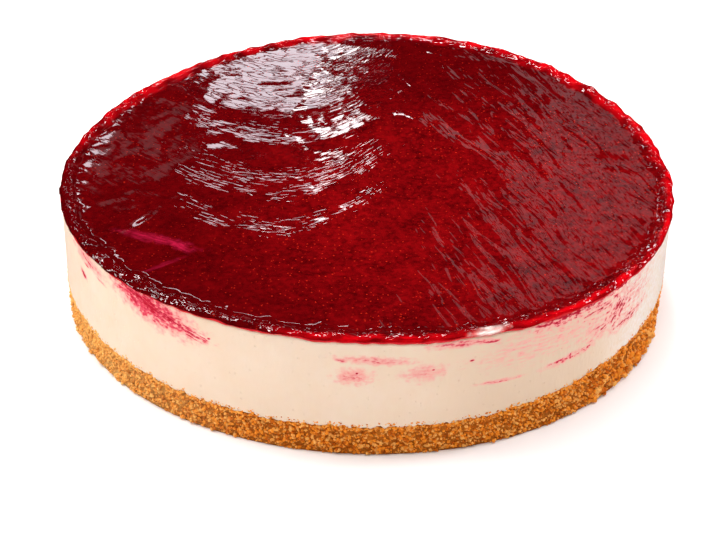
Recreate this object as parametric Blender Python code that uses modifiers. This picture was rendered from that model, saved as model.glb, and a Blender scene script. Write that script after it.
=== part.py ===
"""A whole strawberry cheesecake: a pressed biscuit crumb base, a cream cheese filling and a strawberry jelly topping.

The cake stands on z = 0 with its middle at the origin. Angles run from +X, to the right of the shown side, which
faces -Y. Every layer is a turned profile whose points are then moved to the uneven form of the real cake. The same
functions give both faces where two layers meet, so that an even gap stays between them.
"""

import math

import bmesh
import bpy
from mathutils import Vector, noise

# Driving dimensions, in metres
CAKE_RADIUS = 0.130
RIM_HEIGHT = 0.0549
CRUMB_HEIGHT = 0.0135
FILLING_HEIGHT = 0.0500
JELLY_HEIGHT = 0.0538
LAYER_GAP = 0.0003

# Round form
SEGMENTS = 200
SIDE_FLARE = 0.0097
OUT_OF_ROUND = ((1, 0.0008, -0.0138), (2, 0.0009, 0.0006), (3, -0.0019, -0.0138))
RIM_RISE = ((1, 0.0074, -0.0036), (2, -0.0020, 0.0096))

# Where two layers meet, the edge is uneven and the middle flat
EDGE_BAND = 0.012
EDGE_INSET = 0.0010
CRUMB_EDGE_ROUGHNESS = 0.0011
CRUMB_BANK_ANGLE = math.radians(-35)
CRUMB_BANK_SPREAD = math.radians(28)
CRUMB_BANK_HEIGHT = 0.0032
FILLING_EDGE_RISE = 0.0024
FILLING_EDGE_ROUGHNESS = 0.0007

# Crumb wall
CRUMB_ROWS = 5
CRUMB_GRAIN = 0.0031
CRUMB_RELIEF = 0.0009
FOOT_INSET = 0.0009

# Filling wall
FILLING_ROWS = 3
FILLING_SHOULDER = 0.0005

# Jelly rim, measured inwards from the wall and down from the crest
RIM_FOOT = 0.0062
RIM_INNER = 0.0038
RIM_CREST = 0.0019
RIM_SHOULDER = 0.0006
RIM_OVERHANG = 0.0004
RIM_LUMP = 0.0006
RIM_LUMP_LENGTH = 0.0075

# Jelly surface: the sweeps that the spatula left, each (x, y, along, across, turn in degrees, height)
SWEEPS = (
    (-0.052, 0.084, 0.046, 0.030, -12, -0.0012),
    (-0.042, 0.040, 0.048, 0.013, -8, 0.0010),
    (0.036, 0.030, 0.034, 0.011, -52, 0.0012),
    (0.078, 0.012, 0.030, 0.020, -60, -0.0008),
    (-0.098, 0.030, 0.030, 0.016, 35, 0.0008),
    (-0.020, -0.050, 0.052, 0.022, 8, -0.0007),
    (0.050, -0.082, 0.044, 0.018, -62, 0.0008),
)
SWELL = 0.0005
SWELL_LENGTH = 0.048
JELLY_RINGS = 7

# Finishes: colour, roughness, metallic
CRUMB_FINISH = ((0.50, 0.22, 0.055, 1.0), 0.85, 0.0)
FILLING_FINISH = ((0.86, 0.74, 0.56, 1.0), 0.45, 0.0)
JELLY_FINISH = ((0.27, 0.004, 0.010, 1.0), 0.12, 0.0)


def clear_scene():
    """Empty the scene of its objects."""
    for obj in list(bpy.data.objects):
        bpy.data.objects.remove(obj, do_unlink=True)


def harmonics(terms, angle):
    """Sum of cosine and sine terms, each (order, cosine share, sine share)."""
    return sum(c * math.cos(k * angle) + s * math.sin(k * angle) for k, c, s in terms)


def smooth(low, high, value):
    """Smooth step from 0 at low to 1 at high."""
    t = min(1.0, max(0.0, (value - low) / (high - low)))
    return t * t * (3.0 - 2.0 * t)


def around(angle, length, layer):
    """Even noise between about -1 and 1 along the wall, with lumps of this length."""
    turn = CAKE_RADIUS / length
    return noise.noise(Vector((turn * math.cos(angle), turn * math.sin(angle), layer)))


def plan_scale(angle, height):
    """How much wider than its nominal radius the cake is at this angle and height."""
    flare = SIDE_FLARE * max(0.0, 1.0 - height / RIM_HEIGHT)
    return (1.0 + harmonics(OUT_OF_ROUND, angle)) * (1.0 + flare)


def rim_rise(angle, radius):
    """How far the uneven top lifts a point above its nominal height."""
    return CAKE_RADIUS * harmonics(RIM_RISE, angle) * (radius / CAKE_RADIUS) ** 2


def edge_share(radius):
    """0 over the flat middle of a layer and 1 at its edge."""
    return smooth(CAKE_RADIUS - EDGE_BAND, CAKE_RADIUS - EDGE_INSET, radius)


def crumb_top(angle, radius):
    """Height of the face where crumbs and filling meet."""
    away = math.remainder(angle - CRUMB_BANK_ANGLE, math.tau) / CRUMB_BANK_SPREAD
    bank = CRUMB_BANK_HEIGHT * math.exp(-away * away)
    jagged = CRUMB_EDGE_ROUGHNESS * around(angle, CRUMB_GRAIN, 3.7)
    return CRUMB_HEIGHT + edge_share(radius) * (bank + jagged)


def filling_top(angle, radius):
    """Height of the face where filling and jelly meet."""
    ragged = FILLING_EDGE_ROUGHNESS * around(angle, 2.0 * RIM_LUMP_LENGTH, 8.1)
    edge = edge_share(radius) * (FILLING_EDGE_RISE + ragged)
    return FILLING_HEIGHT + rim_rise(angle, radius) + edge


def sweep_height(x, y):
    """Height that the spatula's sweeps add to the jelly at this place."""
    total = SWELL * noise.noise(Vector((x / SWELL_LENGTH, y / SWELL_LENGTH, 5.3)))
    for place_x, place_y, along, across, turn, height in SWEEPS:
        c, s = math.cos(math.radians(turn)), math.sin(math.radians(turn))
        u = ((x - place_x) * c + (y - place_y) * s) / along
        v = ((y - place_y) * c - (x - place_x) * s) / across
        total += height * math.exp(-u * u - v * v)
    return total


def turned_mesh(name, profile):
    """Turn a profile of (radius, height) points, top to bottom down its outer side, into a closed mesh."""
    outline = bpy.data.meshes.new(name + "_profile")
    edges = [(i, i + 1) for i in range(len(profile) - 1)]
    outline.from_pydata([(r, 0.0, z) for r, z in profile], edges, [])
    turner = bpy.data.objects.new(name + "_profile", outline)
    bpy.context.scene.collection.objects.link(turner)
    screw = turner.modifiers.new("turn", "SCREW")
    screw.steps = screw.render_steps = SEGMENTS
    screw.use_merge_vertices = True
    screw.merge_threshold = 0.00005
    screw.use_smooth_shade = False
    graph = bpy.context.evaluated_depsgraph_get()
    mesh = bpy.data.meshes.new_from_object(turner.evaluated_get(graph))
    mesh.name = name
    bpy.data.objects.remove(turner, do_unlink=True)
    return mesh


def move_points(mesh, mover):
    """Move each point to mover(angle, radius, height), which returns a place."""
    shaped = bmesh.new()
    shaped.from_mesh(mesh)
    bmesh.ops.remove_doubles(shaped, verts=shaped.verts, dist=0.00005)
    for vert in shaped.verts:
        x, y, z = vert.co
        vert.co = mover(math.atan2(y, x), math.hypot(x, y), z)
    bmesh.ops.triangulate(shaped, faces=shaped.faces, quad_method="SHORT_EDGE", ngon_method="BEAUTY")
    bmesh.ops.recalc_face_normals(shaped, faces=shaped.faces)
    shaped.to_mesh(mesh)
    shaped.free()


def polar(angle, radius, height):
    """Place of a point given by angle, radius and height."""
    return Vector((radius * math.cos(angle), radius * math.sin(angle), height))


def finish(name, mesh, collection, look, crease):
    """Make the object of a layer, give it its material and shade it."""
    color, roughness, metallic = look
    material = bpy.data.materials.new(name)
    material.use_nodes = True
    shader = material.node_tree.nodes["Principled BSDF"]
    shader.inputs["Base Color"].default_value = color
    shader.inputs["Roughness"].default_value = roughness
    shader.inputs["Metallic"].default_value = metallic
    mesh.materials.append(material)
    mesh.shade_smooth()
    mesh.set_sharp_from_angle(angle=math.radians(crease))
    layer = bpy.data.objects.new(name, mesh)
    collection.objects.link(layer)
    return layer


def crumb_base(collection):
    """Disc of pressed biscuit crumbs with a craggy wall."""
    wall_top = CRUMB_HEIGHT - EDGE_INSET
    rows = [FOOT_INSET + (wall_top - FOOT_INSET) * i / CRUMB_ROWS for i in range(CRUMB_ROWS, -1, -1)]
    profile = [(0.0, CRUMB_HEIGHT), (CAKE_RADIUS - EDGE_BAND, CRUMB_HEIGHT), (CAKE_RADIUS - EDGE_INSET, CRUMB_HEIGHT)]
    profile += [(CAKE_RADIUS, z) for z in rows]
    profile += [(CAKE_RADIUS - FOOT_INSET, 0.0), (0.0, 0.0)]

    def shape(angle, radius, height):
        """Lift the top to the uneven edge and roughen the wall."""
        z = height * crumb_top(angle, radius) / CRUMB_HEIGHT
        r = radius * plan_scale(angle, z)
        if radius > CAKE_RADIUS - FOOT_INSET / 2:
            grain = polar(angle, CAKE_RADIUS, z) / CRUMB_GRAIN
            r += CRUMB_RELIEF * noise.noise(grain) + CRUMB_RELIEF / 2 * noise.noise(grain * 2.3)
        return polar(angle, r, z)

    mesh = turned_mesh("crumb_base", profile)
    move_points(mesh, shape)
    return finish("crumb_base", mesh, collection, CRUMB_FINISH, 25)


def cheese_filling(collection):
    """Thick disc of set cream cheese filling, between the crumbs and the jelly."""
    low, high = CRUMB_HEIGHT + LAYER_GAP, FILLING_HEIGHT
    wall_low, wall_high = low + FILLING_SHOULDER, high - FILLING_SHOULDER
    rows = [wall_low + (wall_high - wall_low) * i / FILLING_ROWS for i in range(FILLING_ROWS, -1, -1)]
    profile = [(0.0, high), (CAKE_RADIUS - EDGE_BAND, high), (CAKE_RADIUS - EDGE_INSET, high)]
    profile += [(CAKE_RADIUS, z) for z in rows]
    profile += [(CAKE_RADIUS - EDGE_INSET, low), (CAKE_RADIUS - EDGE_BAND, low), (0.0, low)]

    def shape(angle, radius, height):
        """Fit the filling between the face of the crumbs and that of the jelly."""
        share = (height - low) / (high - low)
        bottom = crumb_top(angle, radius) + LAYER_GAP
        z = bottom + share * (filling_top(angle, radius) - bottom)
        return polar(angle, radius * plan_scale(angle, z), z)

    mesh = turned_mesh("cheese_filling", profile)
    move_points(mesh, shape)
    return finish("cheese_filling", mesh, collection, FILLING_FINISH, 40)


def strawberry_topping(collection):
    """Layer of strawberry jelly, with a raised lumpy rim and a surface swept by a spatula."""
    low = FILLING_HEIGHT + LAYER_GAP
    inner = CAKE_RADIUS - RIM_FOOT
    profile = [(inner * i / JELLY_RINGS, JELLY_HEIGHT) for i in range(JELLY_RINGS + 1)]
    profile += [
        (CAKE_RADIUS - RIM_INNER, RIM_HEIGHT - RIM_SHOULDER),
        (CAKE_RADIUS - RIM_CREST, RIM_HEIGHT),
        (CAKE_RADIUS - RIM_SHOULDER, RIM_HEIGHT - RIM_SHOULDER),
        (CAKE_RADIUS + RIM_OVERHANG, (RIM_HEIGHT + low) / 2),
        (CAKE_RADIUS, low + RIM_SHOULDER),
        (CAKE_RADIUS - EDGE_INSET, low),
        (CAKE_RADIUS - EDGE_BAND, low),
        (0.0, low),
    ]

    def shape(angle, radius, height):
        """Rest the layer on the filling and give its top the sweeps and the lumps."""
        top_share = min(1.0, (height - low) / (RIM_HEIGHT - low))
        if radius < inner + RIM_SHOULDER and height > low:
            top_share = 1.0
        bottom = filling_top(angle, radius) + LAYER_GAP
        swept = 1.0 - smooth(inner - EDGE_BAND, inner + RIM_FOOT / 2, radius)
        crest = smooth(inner, CAKE_RADIUS - RIM_CREST, radius)
        top = JELLY_HEIGHT + rim_rise(angle, radius) + (RIM_HEIGHT - JELLY_HEIGHT) * crest
        top += swept * sweep_height(radius * math.cos(angle), radius * math.sin(angle))
        top += crest * RIM_LUMP * around(angle, RIM_LUMP_LENGTH, 1.9)
        z = bottom + top_share * (top - bottom)
        lump = RIM_LUMP * around(angle, RIM_LUMP_LENGTH, 6.4) * crest * top_share
        return polar(angle, radius * plan_scale(angle, z) + lump, z)

    mesh = turned_mesh("strawberry_topping", profile)
    move_points(mesh, shape)
    return finish("strawberry_topping", mesh, collection, JELLY_FINISH, 50)


def main():
    """Build the cake's three layers."""
    clear_scene()
    cake = bpy.data.collections.new("strawberry_cheesecake")
    bpy.context.scene.collection.children.link(cake)
    crumb_base(cake)
    cheese_filling(cake)
    strawberry_topping(cake)


main()
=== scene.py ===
"""Looks of a whole strawberry cheesecake: crumb base, cream cheese filling and glossy strawberry jelly.

Angles run from +X, to the right of the shown side, which faces -Y. Lengths in the code are metres, except
where a name ends in _mm: shading patterns are laid out in millimetres.
"""

import logging
import math
from dataclasses import dataclass, field
from enum import Enum
from typing import Callable, Sequence

import bmesh
import bpy
import numpy as np
from mathutils import Matrix, Vector, noise


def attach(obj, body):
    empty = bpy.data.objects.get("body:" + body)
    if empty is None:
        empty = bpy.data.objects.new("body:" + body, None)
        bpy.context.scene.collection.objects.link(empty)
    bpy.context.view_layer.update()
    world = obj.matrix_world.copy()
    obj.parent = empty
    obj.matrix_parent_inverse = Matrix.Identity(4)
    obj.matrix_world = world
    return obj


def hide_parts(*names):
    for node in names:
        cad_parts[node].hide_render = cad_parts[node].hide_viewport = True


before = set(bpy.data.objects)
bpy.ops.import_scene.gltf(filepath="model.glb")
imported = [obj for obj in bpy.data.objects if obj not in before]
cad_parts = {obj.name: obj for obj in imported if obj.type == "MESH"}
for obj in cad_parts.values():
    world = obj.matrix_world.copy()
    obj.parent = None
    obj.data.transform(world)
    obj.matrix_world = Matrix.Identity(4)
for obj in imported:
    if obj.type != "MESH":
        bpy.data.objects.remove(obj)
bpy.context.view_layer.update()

log = logging.getLogger("cheesecake")
logging.basicConfig(level=logging.INFO, format="%(name)s: %(message)s")

MM = 0.001
PER_MM = 1000.0
# Rings of the flat faces: two round the middle, and those just inside the wall on top
HUB_RADIUS = 0.005
MIDDLE_RADIUS = 0.060
TOP_INSETS = (0.012, 0.004, 0.001)
Color = tuple[float, float, float, float]
Socket = bpy.types.NodeSocket
Tree = bpy.types.NodeTree
Object = bpy.types.Object


def smooth(low: float, high: float, value: float) -> float:
    """Smooth step from 0 at low to 1 at high."""
    share = min(1.0, max(0.0, (value - low) / (high - low)))
    return share * share * (3.0 - 2.0 * share)


def harmonics(terms: Sequence[tuple[int, float, float]], angle: float) -> float:
    """Sum of waves round the cake, each given as (order, cosine share, sine share)."""
    return sum(c * math.cos(k * angle) + s * math.sin(k * angle) for k, c, s in terms)


def polar(angle: float, radius: float, height: float) -> Vector:
    """Place of a point, from its angle, its distance from the axis and its height above the foot."""
    return Vector((radius * math.cos(angle), radius * math.sin(angle), height))


@dataclass(frozen=True)
class Sweep:
    """One low ridge or dip that the spatula left in the jelly."""

    x: float
    y: float
    along: float
    across: float
    turn: float
    height: float

    def at(self, x: float, y: float) -> float:
        """Height that this sweep adds.

        Args:
            x: Place to the right of the axis.
            y: Place behind the axis.

        Returns:
            The height, negative in a dip.
        """
        c, s = math.cos(math.radians(self.turn)), math.sin(math.radians(self.turn))
        u = ((x - self.x) * c + (y - self.y) * s) / self.along
        v = ((y - self.y) * c - (x - self.x) * s) / self.across
        return self.height * math.exp(-u * u - v * v)


@dataclass(frozen=True)
class CakeForm:
    """The uneven round form that the three layers share."""

    radius: float = 0.130
    rim_height: float = 0.0549
    crumb_height: float = 0.0130
    filling_height: float = 0.0500
    jelly_height: float = 0.0538
    gap: float = 0.0003
    side_flare: float = 0.0097
    out_of_round: tuple = ((1, 0.0008, -0.0138), (2, 0.0009, 0.0006), (3, -0.0019, -0.0138))
    rim_waves: tuple = ((1, 0.0074, -0.0036), (2, -0.0020, 0.0096))
    edge_band: float = 0.012
    edge_inset: float = 0.0010
    crumb_roughness: float = 0.0011
    crumb_grain: float = 0.0031
    crumb_fringe: float = 0.0007
    fringe_grain: float = 0.0013
    banks: tuple = ((-29, 29, 0.0056), (-147, 24, 0.0013))
    filling_rise: float = 0.0024
    filling_roughness: float = 0.0007
    drip_roughness: float = 0.0005
    lump_length: float = 0.0075
    stroke_x: float = -0.036
    bend_right: float = 0.034
    bend_left: float = 0.050
    rise_right: float = 1.6
    rise_left: float = 1.1

    def around(self, angle: float, length: float, layer: float) -> float:
        """Noise along the wall, from about -1 to 1, with lumps of this length in one of its layers."""
        turn = self.radius / length
        return noise.noise(Vector((turn * math.cos(angle), turn * math.sin(angle), layer)))

    def plan_scale(self, angle: float, height: float) -> float:
        """How much wider than its nominal radius the cake is at this angle and height."""
        flare = self.side_flare * max(0.0, 1.0 - height / self.rim_height)
        return (1.0 + harmonics(self.out_of_round, angle)) * (1.0 + flare)

    def rim_rise(self, angle: float, radius: float) -> float:
        """How far the uneven top lifts a point at this angle and nominal radius."""
        return self.radius * harmonics(self.rim_waves, angle) * (radius / self.radius) ** 2

    def edge_share(self, radius: float) -> float:
        """0 over the flat middle of a layer and 1 at its edge."""
        return smooth(self.radius - self.edge_band, self.radius - self.edge_inset, radius)

    def crumb_top(self, angle: float, radius: float) -> float:
        """Height of the face where crumbs and filling meet.

        Args:
            angle: Angle round the cake.
            radius: Nominal radius of the point.

        Returns:
            The height.
        """
        bank = 0.0
        for middle, spread, height in self.banks:
            away = math.remainder(math.degrees(angle) - middle, 360.0) / spread
            bank += height * math.exp(-away * away)
        jagged = self.crumb_roughness * self.around(angle, self.crumb_grain, 3.7)
        jagged += self.crumb_fringe * self.around(angle, self.fringe_grain, 6.1)
        return self.crumb_height + self.edge_share(radius) * (bank + jagged)

    def filling_top(self, angle: float, radius: float) -> float:
        """Height of the face where filling and jelly meet.

        Args:
            angle: Angle round the cake.
            radius: Nominal radius of the point.

        Returns:
            The height.
        """
        ragged = self.filling_roughness * self.around(angle, 2.0 * self.lump_length, 8.1)
        ragged += self.drip_roughness * self.around(angle, 0.5 * self.lump_length, 4.4)
        edge = self.edge_share(radius) * (self.filling_rise + ragged)
        return self.filling_height + self.rim_rise(angle, radius) + edge

    def stroke_line(self, x: float, y: float) -> float:
        """Which of the spatula's curved strokes passes through a place.

        Args:
            x: Place to the right of the axis.
            y: Place behind the axis.

        Returns:
            Where that stroke crosses the line x = stroke_x.
        """
        off = x - self.stroke_x
        bend, rise = (self.bend_right, self.rise_right) if off > 0.0 else (self.bend_left, self.rise_left)
        return y - rise * (math.hypot(off, bend) - bend)

    def along_wall(self, co: Vector) -> float:
        """Distance along the wall from the middle of the shown side, in millimetres."""
        return math.atan2(co.x, -co.y) * self.radius * PER_MM


class RingSkin:
    """A closed skin, grown ring by ring from the middle of its top to the middle of its foot.

    Points are laid at their nominal radius, with a share from 1 on the top face to 0 on the bottom face as
    their height. shape then moves them to their real place.
    """

    def __init__(self, start_radius: float, segments: int) -> None:
        """Starts with a small disc.

        Args:
            start_radius: Radius of the disc.
            segments: Its number of sides.
        """
        self.bm = bmesh.new()
        bmesh.ops.create_circle(
            self.bm, cap_ends=True, cap_tris=True, segments=segments, radius=start_radius
        )
        bmesh.ops.translate(self.bm, verts=self.bm.verts, vec=(0, 0, 1))
        self.radius, self.share, self.segments = start_radius, 1.0, segments
        self.edge = [e for e in self.bm.edges if e.is_boundary]

    def ring(self, radius: float, share: float) -> None:
        """Adds a ring to the open edge.

        Args:
            radius: Radius of the new edge.
            share: Its share of the layer's height.
        """
        made = bmesh.ops.extrude_edge_only(self.bm, edges=self.edge)["geom"]
        verts = [g for g in made if isinstance(g, bmesh.types.BMVert)]
        self.edge = [g for g in made if isinstance(g, bmesh.types.BMEdge) and g.is_boundary]
        grow = radius / self.radius
        bmesh.ops.scale(self.bm, verts=verts, vec=(grow, grow, 1))
        bmesh.ops.translate(self.bm, verts=verts, vec=(0, 0, share - self.share))
        self.radius, self.share = radius, share

    def double(self) -> None:
        """Splits each segment of the open edge in two."""
        bmesh.ops.subdivide_edges(self.bm, edges=self.edge, cuts=1)
        self.edge = [e for e in self.bm.edges if e.is_boundary]
        self.segments *= 2
        for vert in {v for e in self.edge for v in e.verts}:
            reach = self.radius / math.hypot(vert.co.x, vert.co.y)
            vert.co.x, vert.co.y = vert.co.x * reach, vert.co.y * reach

    def spread(self, radius: float, step: float, widest: float) -> None:
        """Adds even rings on the top face, with more segments as they widen.

        Args:
            radius: Where to stop.
            step: Distance between rings.
            widest: Longest segment allowed.
        """
        rings = max(1, round((radius - self.radius) / step))
        start = self.radius
        for i in range(1, rings + 1):
            if math.tau * self.radius / self.segments > widest:
                self.double()
            self.ring(start + (radius - start) * i / rings, 1.0)

    def close(self) -> None:
        """Closes the foot with a fan."""
        made = bmesh.ops.holes_fill(self.bm, edges=self.edge, sides=0)["faces"]
        bmesh.ops.poke(self.bm, faces=made)

    def shape(self, mover: Callable[[float, float, float], Vector]) -> None:
        """Moves every point to its real place.

        Args:
            mover: Gives the place from the angle, the nominal radius and the share.
        """
        for vert in self.bm.verts:
            x, y, share = vert.co
            vert.co = mover(math.atan2(y, x), math.hypot(x, y), share)
        bmesh.ops.recalc_face_normals(self.bm, faces=self.bm.faces)

    def attribute(self, name: str, reader: Callable[[Vector], float]) -> None:
        """Stores a number at each point for the materials.

        Args:
            name: Name of the attribute.
            reader: Gives the number from the point's nominal place.
        """
        layer = self.bm.verts.layers.float.new(name)
        for vert in self.bm.verts:
            vert[layer] = reader(vert.co)

    def finish(self, name: str) -> Object:
        """Makes the object.

        Args:
            name: Name of the piece.

        Returns:
            The piece, smooth shaded and linked to the scene.
        """
        mesh = bpy.data.meshes.new(name)
        self.bm.to_mesh(mesh)
        self.bm.free()
        mesh.shade_smooth()
        piece = bpy.data.objects.new(name, mesh)
        bpy.context.scene.collection.objects.link(piece)
        return piece


def walled_skin(
    radius: float, segments: int, rows: int, wall: tuple[float, float], foot_insets: tuple[float, ...]
) -> RingSkin:
    """Makes the skin of a layer with an upright wall.

    Args:
        radius: Nominal radius of the wall.
        segments: Segments round it.
        rows: Rows of faces up it.
        wall: Share of its highest ring, and how much lower its lowest ring is.
        foot_insets: How far in from the wall the outer rings of the foot lie.

    Returns:
        The closed skin.
    """
    skin = RingSkin(HUB_RADIUS, segments)
    for at in (MIDDLE_RADIUS, *(radius - inset for inset in TOP_INSETS)):
        skin.ring(at, 1.0)
    highest, drop = wall
    for row in range(rows + 1):
        skin.ring(radius, highest - drop * row / rows)
    for at in (*(radius - inset for inset in foot_insets), MIDDLE_RADIUS, HUB_RADIUS):
        skin.ring(at, 0.0)
    skin.close()
    return skin


class Sheet:
    """A node tree with short calls for its usual nodes."""

    def __init__(self, tree: Tree) -> None:
        """Wraps a node tree."""
        self.tree = tree

    def node(self, kind: str, **settings: object) -> bpy.types.Node:
        """Adds a node.

        Args:
            kind: Its type, without ShaderNode in front.
            settings: Its properties.

        Returns:
            The node.
        """
        made = self.tree.nodes.new(kind if kind.startswith("Node") else "ShaderNode" + kind)
        for key, value in settings.items():
            setattr(made, key, value)
        return made

    def feed(self, socket: Socket, value: object) -> None:
        """Links or sets an input.

        Args:
            socket: The input.
            value: An output socket, or a plain value.
        """
        if isinstance(value, Socket):
            self.tree.links.new(value, socket)
        else:
            socket.default_value = value

    def math(self, operation: str, *values: object, clamp: bool = False) -> Socket:
        """Adds a Math node.

        Args:
            operation: What it works out.
            values: Its inputs, sockets or numbers.
            clamp: Whether the result stays between 0 and 1.

        Returns:
            Its output.
        """
        made = self.node("Math", operation=operation, use_clamp=clamp)
        for socket, value in zip(made.inputs, values):
            self.feed(socket, value)
        return made.outputs[0]

    def times(self, first: object, *others: object) -> Socket:
        """Multiplies values.

        Args:
            first: The first of them, a socket or a number.
            others: The others.

        Returns:
            Their product.
        """
        for value in others:
            first = self.math("MULTIPLY", first, value)
        return first

    def vector(self, operation: str, *values: object) -> Socket:
        """Adds a Vector Math node.

        Args:
            operation: What it works out.
            values: Its inputs, sockets or values.

        Returns:
            Its output, the number where it has one.
        """
        made = self.node("VectorMath", operation=operation)
        sockets = (made.inputs[0], made.inputs["Scale"]) if operation == "SCALE" else made.inputs
        for socket, value in zip(sockets, values):
            self.feed(socket, value)
        return made.outputs["Value" if operation == "LENGTH" else "Vector"]

    def split(self, value: Socket) -> list[Socket]:
        """The three numbers of a vector."""
        made = self.node("SeparateXYZ")
        self.feed(made.inputs[0], value)
        return list(made.outputs)

    def join(self, x: object, y: object, z: object = 0.0) -> Socket:
        """A vector from three numbers."""
        made = self.node("CombineXYZ")
        for socket, value in zip(made.inputs, (x, y, z)):
            self.feed(socket, value)
        return made.outputs[0]

    def noise(self, place: object, scale: float, detail: float = 2.0, twist: float = 0.0) -> Socket:
        """Adds a Noise Texture.

        Args:
            place: Where it is read.
            scale: Lumps in a unit of length.
            detail: Number of finer layers.
            twist: How much it is distorted.

        Returns:
            Its value, around 0.5.
        """
        made = self.node("TexNoise")
        self.feed(made.inputs["Vector"], place)
        self.feed(made.inputs["Scale"], scale)
        self.feed(made.inputs["Detail"], detail)
        self.feed(made.inputs["Distortion"], twist)
        return made.outputs["Fac"]

    def cells(self, place: object, scale: float) -> bpy.types.Node:
        """Adds a Voronoi Texture.

        Args:
            place: Where it is read.
            scale: Cells in a unit of length.

        Returns:
            The node.
        """
        made = self.node("TexVoronoi")
        self.feed(made.inputs["Vector"], place)
        self.feed(made.inputs["Scale"], scale)
        return made

    def step(self, value: object, low: float, high: float, to: tuple = (0.0, 1.0)) -> Socket:
        """Adds a smooth Map Range.

        Args:
            value: What it reads.
            low: Value where it gives the first of to.
            high: Value where it gives the second of to.
            to: Its results.

        Returns:
            Its output.
        """
        made = self.node("MapRange", interpolation_type="SMOOTHSTEP")
        self.feed(made.inputs["Value"], value)
        for name, number in zip(("From Min", "From Max", "To Min", "To Max"), (low, high, *to)):
            self.feed(made.inputs[name], number)
        return made.outputs["Result"]

    def mix(self, share: object, first: object, second: object) -> Socket:
        """Adds a Mix node for colours.

        Args:
            share: How much of the second shows.
            first: First colour.
            second: Second colour.

        Returns:
            Its output.
        """
        made = self.node("Mix", data_type="RGBA")
        self.feed(made.inputs["Factor"], share)
        self.feed(made.inputs["A"], first)
        self.feed(made.inputs["B"], second)
        return made.outputs["Result"]

    def place_mm(self) -> Socket:
        """The point's own place, in millimetres."""
        return self.vector("SCALE", self.node("TexCoord").outputs["Object"], PER_MM)

    def stored(self, name: str) -> Socket:
        """A number stored in the mesh."""
        return self.node("Attribute", attribute_name=name).outputs["Fac"]

    def group(self, tree: Tree, **values: object) -> Socket:
        """Adds a node group.

        Args:
            tree: The group.
            values: Its inputs by name.

        Returns:
            Its output.
        """
        made = self.node("Group", node_tree=tree)
        for name, value in values.items():
            self.feed(made.inputs[name], value)
        return made.outputs[0]

    def bump(
        self, height: Socket, depth: float, strength: float = 1.0, below: Socket | None = None
    ) -> Socket:
        """Adds a Bump node.

        Args:
            height: The height that it reads.
            depth: Distance that a height of 1 stands for.
            strength: Its strength.
            below: The normal that it starts from, where it isn't the mesh's own.

        Returns:
            The bumped normal.
        """
        made = self.node("Bump")
        made.inputs["Strength"].default_value = strength
        made.inputs["Distance"].default_value = depth
        self.feed(made.inputs["Height"], height)
        if below is not None:
            self.feed(made.inputs["Normal"], below)
        return made.outputs["Normal"]


def new_group(name: str, vectors: str, numbers: str, output: str) -> tuple[Tree, Sheet]:
    """Starts a shader node group that gives one number.

    Args:
        name: Its name.
        vectors: Names of its inputs that are vectors.
        numbers: Names of its inputs that are numbers.
        output: Name of its output.

    Returns:
        The group and a sheet to fill it.
    """
    tree = bpy.data.node_groups.new(name, "ShaderNodeTree")
    for labels, kind in ((vectors, "Vector"), (numbers, "Float")):
        for label in labels.split():
            tree.interface.new_socket(label, in_out="INPUT", socket_type="NodeSocket" + kind)
    tree.interface.new_socket(output, in_out="OUTPUT", socket_type="NodeSocketFloat")
    return tree, Sheet(tree)


def mottle_group() -> Tree:
    """Soft blotches with finer ones in them.

    Returns:
        The node group.
    """
    tree, sheet = new_group("mottle", "Place", "Size Contrast", "Share")
    given = sheet.node("NodeGroupInput").outputs
    scaled = sheet.vector("SCALE", given["Place"], sheet.math("DIVIDE", 1.0, given["Size"]))
    coarse = sheet.noise(scaled, 1.0, detail=3.0, twist=0.4)
    fine = sheet.noise(scaled, 4.7, detail=2.0)
    both = sheet.math("ADD", sheet.times(coarse, 0.7), sheet.times(fine, 0.3))
    centred = sheet.math("SUBTRACT", both, 0.5)
    spread = sheet.math("MULTIPLY_ADD", centred, given["Contrast"], 0.5, clamp=True)
    sheet.feed(sheet.node("NodeGroupOutput").inputs["Share"], spread)
    return tree


def smear_group() -> Tree:
    """A thin streaky smear at one place.

    Returns:
        The node group.
    """
    tree, sheet = new_group("smear", "Place Centre", "Turn Length Width Streaks", "Mask")
    given = sheet.node("NodeGroupInput").outputs
    turned = sheet.node("VectorRotate", rotation_type="Z_AXIS")
    sheet.feed(turned.inputs["Vector"], sheet.vector("SUBTRACT", given["Place"], given["Centre"]))
    sheet.feed(turned.inputs["Angle"], sheet.times(given["Turn"], -1.0))
    along, across, _ = sheet.split(turned.outputs[0])
    wobble = sheet.math("SUBTRACT", sheet.noise(given["Place"], 0.35, detail=3.0), 0.5)
    u = sheet.math("DIVIDE", along, given["Length"])
    v = sheet.math("DIVIDE", across, given["Width"])
    far = sheet.math("SQRT", sheet.math("ADD", sheet.times(u, u), sheet.times(v, v)))
    edge = sheet.math("MULTIPLY_ADD", wobble, 1.1, far)
    body = sheet.step(edge, 1.05, 0.10)
    drawn = sheet.join(sheet.times(along, 0.16), sheet.times(across, 1.1))
    streak = sheet.step(sheet.noise(drawn, 1.0, detail=3.0, twist=0.3), 0.38, 0.62)
    gaps = sheet.times(given["Streaks"], sheet.math("SUBTRACT", 1.0, streak))
    faded = sheet.math("SUBTRACT", 1.0, gaps)
    mask = sheet.math("MULTIPLY", body, faded, clamp=True)
    sheet.feed(sheet.node("NodeGroupOutput").inputs["Mask"], mask)
    return tree


@dataclass(frozen=True)
class Groups:
    """The shading effects that more than one finish uses."""

    mottle: Tree = field(default_factory=mottle_group)
    smear: Tree = field(default_factory=smear_group)

    def mottled(self, sheet: Sheet, place: Socket, size_mm: float, contrast: float) -> Socket:
        """Puts the mottle in a material, with blotches of this size."""
        return sheet.group(self.mottle, Place=place, Size=size_mm, Contrast=contrast)


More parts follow.
